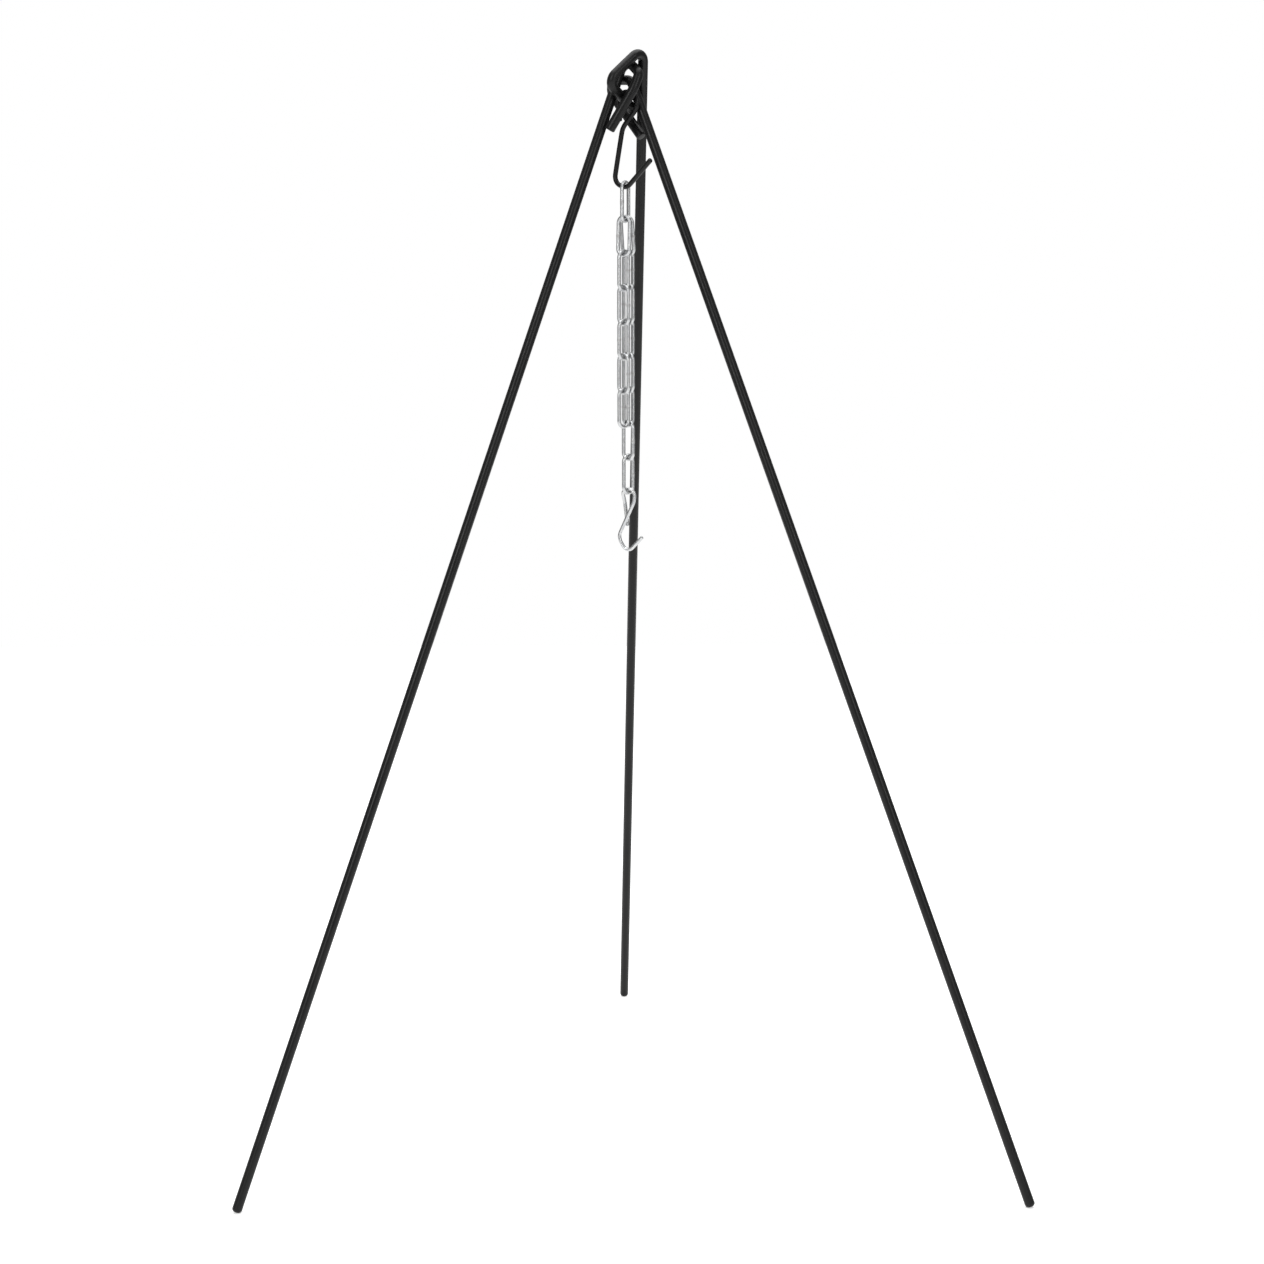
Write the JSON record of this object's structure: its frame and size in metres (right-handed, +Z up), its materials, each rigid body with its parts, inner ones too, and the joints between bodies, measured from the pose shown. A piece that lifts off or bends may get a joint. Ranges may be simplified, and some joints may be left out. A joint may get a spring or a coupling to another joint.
{
  "type": "campfire cooking tripod",
  "caption": "Steel rod tripod for use over a fire: three legs linked by bent eyes at the head, an S-hook, a long-link chain with a spare tail, and a pot hook.",
  "frame": {"origin": "on the ground, at the centre of the outline seen from above", "axes": "+Z up. +Y towards the back leg's foot. +X to the right for someone who faces the open side between the two front legs."},
  "size_m": [0.6242, 0.5416, 0.8916],
  "materials": {
    "black_powder_coat": "satin black powder coat",
    "zinc_plate": "bright zinc plating"
  },
  "bodies": {
    "leg_back": {"leg_back": "black_powder_coat"},
    "leg_left": {"leg_left": "black_powder_coat"},
    "leg_right": {"leg_right": "black_powder_coat"},
    "top_hook": {"top_hook": "black_powder_coat"},
    "chain_link_01": {"chain_link_01": "zinc_plate"},
    "run_link_01": {"run_link_01": "zinc_plate"},
    "run_link_02": {"run_link_02": "zinc_plate"},
    "run_link_03": {"run_link_03": "zinc_plate"},
    "run_link_04": {"run_link_04": "zinc_plate"},
    "run_link_05": {"run_link_05": "zinc_plate"},
    "run_link_06": {"run_link_06": "zinc_plate"},
    "run_link_07": {"run_link_07": "zinc_plate"},
    "run_link_08": {"run_link_08": "zinc_plate"},
    "tail_link_01": {"tail_link_01": "zinc_plate"},
    "tail_link_02": {"tail_link_02": "zinc_plate"},
    "tail_link_03": {"tail_link_03": "zinc_plate"},
    "tail_link_04": {"tail_link_04": "zinc_plate"},
    "tail_link_05": {"tail_link_05": "zinc_plate"},
    "tail_link_06": {"tail_link_06": "zinc_plate"},
    "pot_hook": {"pot_hook": "zinc_plate"}
  },
  "joints": [
    {"name": "leg_left_fold", "type": "hinge", "parent": "leg_back", "child": "leg_left", "pos_m": [0.01839, -0.07092, 0.84989], "axis": [0.8531, -0.222, -0.4722], "range_deg": [0, 27]},
    {"name": "leg_right_fold", "type": "hinge", "parent": "leg_back", "child": "leg_right", "pos_m": [-0.00208, -0.05834, 0.84929], "axis": [0.8229, 0.461, 0.332], "range_deg": [0, 34]},
    {"name": "top_hook_swing", "type": "hinge", "parent": "leg_back", "child": "top_hook", "pos_m": [-0.00339, -0.0843, 0.8515], "axis": [0.5111, 0.6969, -0.5031], "range_deg": [-5, 10]},
    {"name": "chain_link_01_swing", "type": "hinge", "parent": "top_hook", "child": "chain_link_01", "pos_m": [-0.00409, -0.08361, 0.7847], "axis": [0.712, -0.7021, 0], "range_deg": [-20, 20]},
    {"name": "run_link_01_swing", "type": "hinge", "parent": "chain_link_01", "child": "run_link_01", "pos_m": [-0.00327, -0.08218, 0.75796], "axis": [0.5, 0.866, 0], "range_deg": [0, 30]},
    {"name": "run_link_02_swing", "type": "hinge", "parent": "run_link_01", "child": "run_link_02", "pos_m": [-0.00135, -0.07692, 0.73128], "axis": [-0.851, 0.5238, 0.0372], "range_deg": [-30, 0]},
    {"name": "run_link_03_swing", "type": "hinge", "parent": "run_link_02", "child": "run_link_03", "pos_m": [-0.00156, -0.07748, 0.70372], "axis": [-0.7071, -0.7071, 0], "range_deg": [-30, 0]},
    {"name": "run_link_04_swing", "type": "hinge", "parent": "run_link_03", "child": "run_link_04", "pos_m": [-0.00156, -0.07748, 0.67622], "axis": [0.7071, -0.7071, 0], "range_deg": [0, 30]},
    {"name": "run_link_05_swing", "type": "hinge", "parent": "run_link_04", "child": "run_link_05", "pos_m": [-0.00156, -0.07748, 0.64872], "axis": [0.7071, 0.7071, 0], "range_deg": [0, 30]},
    {"name": "run_link_06_swing", "type": "hinge", "parent": "run_link_05", "child": "run_link_06", "pos_m": [-0.00156, -0.07748, 0.62122], "axis": [-0.7071, 0.7071, 0], "range_deg": [-30, 0]},
    {"name": "run_link_07_swing", "type": "hinge", "parent": "run_link_06", "child": "run_link_07", "pos_m": [-0.00156, -0.07748, 0.59372], "axis": [-0.7071, -0.7071, 0], "range_deg": [-30, 30]},
    {"name": "run_link_08_swing", "type": "hinge", "parent": "run_link_07", "child": "run_link_08", "pos_m": [-0.00156, -0.07748, 0.56622], "axis": [0.7071, -0.7071, 0], "range_deg": [-30, 30]},
    {"name": "tail_link_01_swing", "type": "hinge", "parent": "chain_link_01", "child": "tail_link_01", "pos_m": [-0.00492, -0.08504, 0.75796], "axis": [0.5, 0.866, 0], "range_deg": [-30, 0]},
    {"name": "tail_link_02_swing", "type": "hinge", "parent": "tail_link_01", "child": "tail_link_02", "pos_m": [-0.00543, -0.08646, 0.7308], "axis": [-0.8483, 0.5295, -0.0102], "range_deg": [0, 30]},
    {"name": "tail_link_03_swing", "type": "hinge", "parent": "tail_link_02", "child": "tail_link_03", "pos_m": [-0.00538, -0.08631, 0.7033], "axis": [-0.7071, -0.7071, 0], "range_deg": [0, 30]},
    {"name": "tail_link_04_swing", "type": "hinge", "parent": "tail_link_03", "child": "tail_link_04", "pos_m": [-0.00538, -0.08631, 0.6758], "axis": [0.7071, -0.7071, 0], "range_deg": [-30, 0]},
    {"name": "tail_link_05_swing", "type": "hinge", "parent": "tail_link_04", "child": "tail_link_05", "pos_m": [-0.00538, -0.08631, 0.6483], "axis": [0.7071, 0.7071, 0], "range_deg": [-30, 0]},
    {"name": "tail_link_06_swing", "type": "hinge", "parent": "tail_link_05", "child": "tail_link_06", "pos_m": [-0.00538, -0.08631, 0.6208], "axis": [-0.7071, 0.7071, 0], "range_deg": [0, 30]},
    {"name": "pot_hook_swing", "type": "hinge", "parent": "run_link_08", "child": "pot_hook", "pos_m": [-0.00156, -0.07748, 0.53872], "axis": [0.7071, 0.7071, 0], "range_deg": [-45, 45]}
  ]
}
